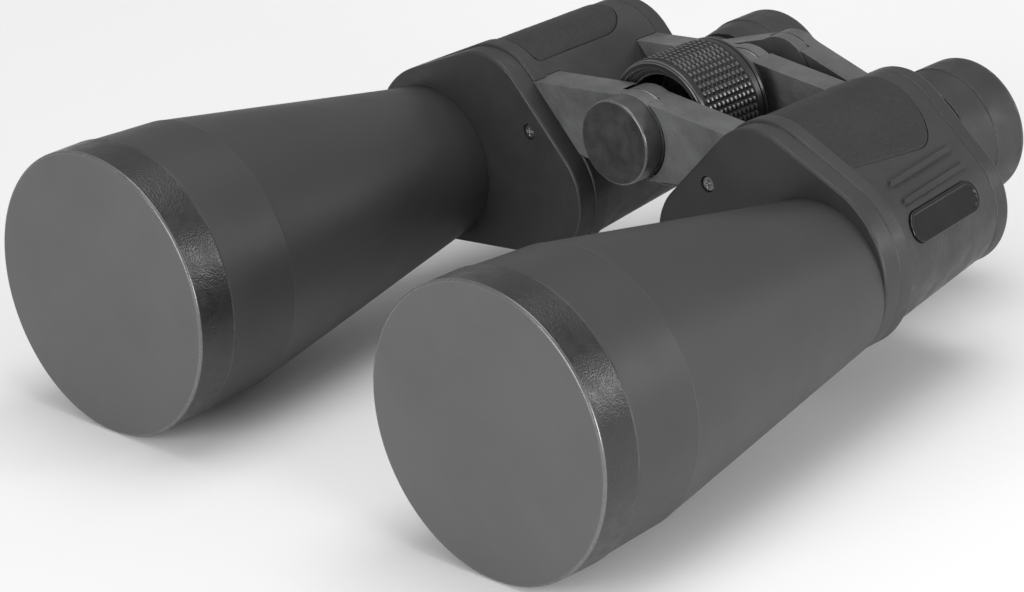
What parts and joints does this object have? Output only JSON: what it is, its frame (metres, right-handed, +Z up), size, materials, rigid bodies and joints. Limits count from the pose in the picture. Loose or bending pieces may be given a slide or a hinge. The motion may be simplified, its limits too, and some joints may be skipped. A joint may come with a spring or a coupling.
{
  "type": "binoculars",
  "caption": "Centre-focus Porro prism binoculars with rubber armour, a knurled focusing wheel between the halves, and push-on objective caps.",
  "frame": {"origin": "middle of the underside: the level of the lowest points of the objective caps, midway across and midway along the length", "axes": "+Y along the optical axes from the objectives to the eyepieces, +Z up with the optical axes level, +X to the user's left"},
  "size_m": [0.2136, 0.222, 0.0763],
  "materials": {
    "armour_rubber": "satin moulded rubber",
    "grip_rubber": "leather-grained rubber",
    "badge_plate": "gloss black, plain",
    "bridge_metal": "satin grey enamel",
    "casting_paint": "fine textured grey enamel",
    "cap_plastic": "matt moulded plastic",
    "barrel_paint": "satin black enamel",
    "cover_plastic": "satin moulded plastic",
    "lens_glass": "coated optical glass",
    "prism_glass": "polished optical glass",
    "black_aluminium": "black anodised",
    "eyecup_rubber": "satin rubber",
    "spring_steel": "spring steel",
    "screw_steel": "blackened steel",
    "bearing_plastic": "natural acetal",
    "dioptre_plastic": "fine ribbed plastic",
    "wheel_core": "gloss black moulding",
    "wheel_rubber": "knurled rubber",
    "shaft_steel": "turned steel",
    "nut_steel": "blackened steel",
    "bush_brass": "threaded brass",
    "hinge_cap_paint": "mottled satin enamel"
  },
  "bodies": {
    "right_half": {"housing_right": "casting_paint", "armour_right": "armour_rubber", "grip_pad_right": "grip_rubber", "badge_right": "badge_plate", "front_cover_right": "cover_plastic", "front_cover_screw_right": "screw_steel", "rear_cover_right": "cover_plastic", "rear_cover_screws_right": "screw_steel", "objective_barrel_right": "barrel_paint", "objective_ring_right": "black_aluminium", "objective_crown_right": "lens_glass", "objective_flint_right": "lens_glass", "prism_shelf_right": "black_aluminium", "prism_front_right": "prism_glass", "prism_rear_right": "prism_glass", "prism_clips_right": "spring_steel", "ocular_sleeve_right": "bearing_plastic", "front_hinge_pin": "shaft_steel", "rear_hinge_tube": "shaft_steel", "hinge_nut": "shaft_steel", "hinge_washers": "bearing_plastic", "tripod_bush": "bush_brass"},
    "left_half": {"housing_left": "casting_paint", "armour_left": "armour_rubber", "grip_pad_left": "grip_rubber", "badge_left": "badge_plate", "front_cover_left": "cover_plastic", "front_cover_screw_left": "screw_steel", "rear_cover_left": "cover_plastic", "rear_cover_screws_left": "screw_steel", "objective_barrel_left": "barrel_paint", "objective_ring_left": "black_aluminium", "objective_crown_left": "lens_glass", "objective_flint_left": "lens_glass", "prism_shelf_left": "black_aluminium", "prism_front_left": "prism_glass", "prism_rear_left": "prism_glass", "prism_clips_left": "spring_steel", "ocular_sleeve_left": "bearing_plastic"},
    "focus_wheel": {"focus_wheel": "wheel_core", "focus_wheel_grip": "wheel_rubber"},
    "focus_carriage": {"focus_spindle": "shaft_steel", "bridge_arm_right": "bridge_metal", "bridge_nut": "nut_steel", "ocular_barrel_right": "black_aluminium", "field_lens_right": "lens_glass"},
    "left_ocular": {"bridge_arm_left": "bridge_metal", "ocular_barrel_left": "black_aluminium", "field_lens_left": "lens_glass", "eye_lens_left": "lens_glass", "eyecup_left": "eyecup_rubber"},
    "dioptre_ring": {"dioptre_ring": "dioptre_plastic"},
    "right_eyepiece": {"eyepiece_cell_right": "black_aluminium", "eye_lens_right": "lens_glass", "eyecup_right": "eyecup_rubber"},
    "hinge_cap": {"hinge_cap": "hinge_cap_paint"},
    "objective_cap_left": {"objective_cap_left": "cap_plastic"},
    "objective_cap_right": {"objective_cap_right": "cap_plastic"}
  },
  "joints": [
    {"name": "interpupillary_hinge", "type": "hinge", "parent": "right_half", "child": "left_half", "pos_m": [0, 0.037, 0.0588], "axis": [0, 1, 0], "range_deg": [-22, 30]},
    {"name": "focus_turn", "type": "hinge", "parent": "right_half", "child": "focus_wheel", "pos_m": [0, 0.0365, 0.0588], "axis": [0, 1, 0], "range_deg": [-301, 301]},
    {"name": "focus_slide", "type": "slide", "parent": "right_half", "child": "focus_carriage", "axis": [0, 1, 0], "range_m": [-0.004, 0.004]},
    {"name": "left_focus_slide", "type": "slide", "parent": "left_half", "child": "left_ocular", "axis": [0, 1, 0], "range_m": [-0.004, 0.004]},
    {"name": "dioptre_turn", "type": "hinge", "parent": "focus_carriage", "child": "dioptre_ring", "pos_m": [-0.0339, 0.0841, 0.0406], "axis": [0, 1, 0], "range_deg": [-61, 61]},
    {"name": "dioptre_slide", "type": "slide", "parent": "focus_carriage", "child": "right_eyepiece", "axis": [0, 1, 0], "range_m": [-0.002, 0.002]},
    {"name": "hinge_cap_pull", "type": "slide", "parent": "right_half", "child": "hinge_cap", "axis": [0, -1, 0], "range_m": [0, 0.06]},
    {"name": "objective_cap_right_pull", "type": "slide", "parent": "right_half", "child": "objective_cap_right", "axis": [0, -1, 0], "range_m": [0, 0.06]},
    {"name": "objective_cap_left_pull", "type": "slide", "parent": "left_half", "child": "objective_cap_left", "axis": [0, -1, 0], "range_m": [0, 0.06]}
  ],
  "couplings": [
    {"joint": "focus_turn", "follows": "focus_slide", "rad_per_m": 1309},
    {"joint": "left_focus_slide", "follows": "focus_slide", "ratio": 1},
    {"joint": "dioptre_turn", "follows": "dioptre_slide", "rad_per_m": 523.6}
  ]
}
